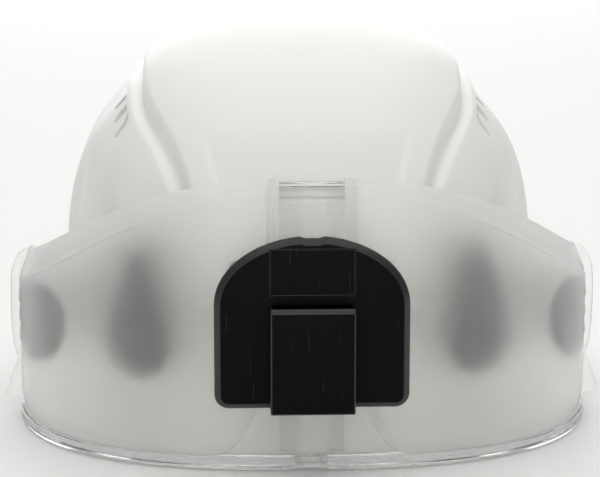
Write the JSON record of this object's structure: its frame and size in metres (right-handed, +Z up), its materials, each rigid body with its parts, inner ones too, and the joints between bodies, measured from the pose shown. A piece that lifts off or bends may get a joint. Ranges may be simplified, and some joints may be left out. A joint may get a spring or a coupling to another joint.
{
  "type": "hard hat",
  "caption": "White safety helmet with a raised crown panel, side vents, a swing-down frosted front shield carrying a black lamp bracket, and a ratchet suspension.",
  "frame": {"origin": "on the plane the rim rests on, midway between the front of the lamp pocket and the back of the cord clip", "axes": "+Z up through the crown, -Y the way the wearer faces, +X the wearer's left"},
  "size_m": [0.275, 0.3208, 0.179],
  "materials": {
    "white_shell": "glossy moulded ABS",
    "frosted_polycarbonate": "frosted, fine grain outside",
    "clear_polycarbonate": "clear, glossy",
    "black_plate": "satin black, fine scratches",
    "black_nylon": "satin glass-filled nylon",
    "black_rubber": "matte",
    "charcoal_plastic": "satin polyethylene",
    "white_plastic": "satin acetal",
    "black_webbing": "woven polyester",
    "foam_pad": "brushed knit over foam",
    "plated_steel": "zinc plated",
    "aluminium_rivet": "satin"
  },
  "bodies": {
    "helmet": {"shell": "white_shell", "pivot_base_left": "black_nylon", "pivot_base_right": "black_nylon", "pivot_washers": "plated_steel", "pivot_caps": "black_nylon", "pivot_screws": "plated_steel", "pivot_nuts": "plated_steel", "brow_buffer_left": "black_rubber", "brow_buffer_right": "black_rubber", "cord_clip": "black_nylon", "cord_clip_rivet": "aluminium_rivet", "headband": "charcoal_plastic", "brow_pad": "foam_pad", "hanger_keys": "white_plastic", "strap_side": "black_webbing", "strap_diagonal_lower": "black_webbing", "strap_diagonal_upper": "black_webbing", "crown_pad": "foam_pad", "ratchet_housing": "charcoal_plastic", "ratchet_backplate": "charcoal_plastic", "nape_pad": "foam_pad"},
    "shield_assembly": {"shield": "frosted_polycarbonate", "shield_rim": "clear_polycarbonate", "lamp_strap": "clear_polycarbonate", "lamp_plate": "black_plate", "lamp_pocket": "black_plate", "push_nuts": "plated_steel", "shield_arm_left": "black_nylon", "shield_arm_right": "black_nylon", "arm_rivets": "aluminium_rivet"},
    "knob": {"ratchet_knob": "black_nylon", "ratchet_pinion": "white_plastic", "knob_screw": "plated_steel"},
    "band_left": {"nape_band_left": "charcoal_plastic"},
    "band_right": {"nape_band_right": "charcoal_plastic"}
  },
  "joints": [
    {"name": "shield_swing", "type": "hinge", "parent": "helmet", "child": "shield_assembly", "pos_m": [0, -0.00555, 0.045], "axis": [1, 0, 0], "range_deg": [0, 32]},
    {"name": "knob_turn", "type": "hinge", "parent": "helmet", "child": "knob", "pos_m": [0, 0.12385, 0.021], "axis": [0, 1, 0], "range_deg": [-180, 180]},
    {"name": "band_left_slide", "type": "hinge", "parent": "helmet", "child": "band_left", "pos_m": [0, 0.03045, 0.021], "axis": [0, 0, 1], "range_deg": [-10.4, 10.4]},
    {"name": "band_right_slide", "type": "hinge", "parent": "helmet", "child": "band_right", "pos_m": [0, 0.03045, 0.021], "axis": [0, 0, 1], "range_deg": [-10.4, 10.4]}
  ],
  "couplings": [
    {"joint": "band_left_slide", "follows": "knob_turn", "ratio": 0.057471},
    {"joint": "band_right_slide", "follows": "knob_turn", "ratio": -0.057471}
  ]
}
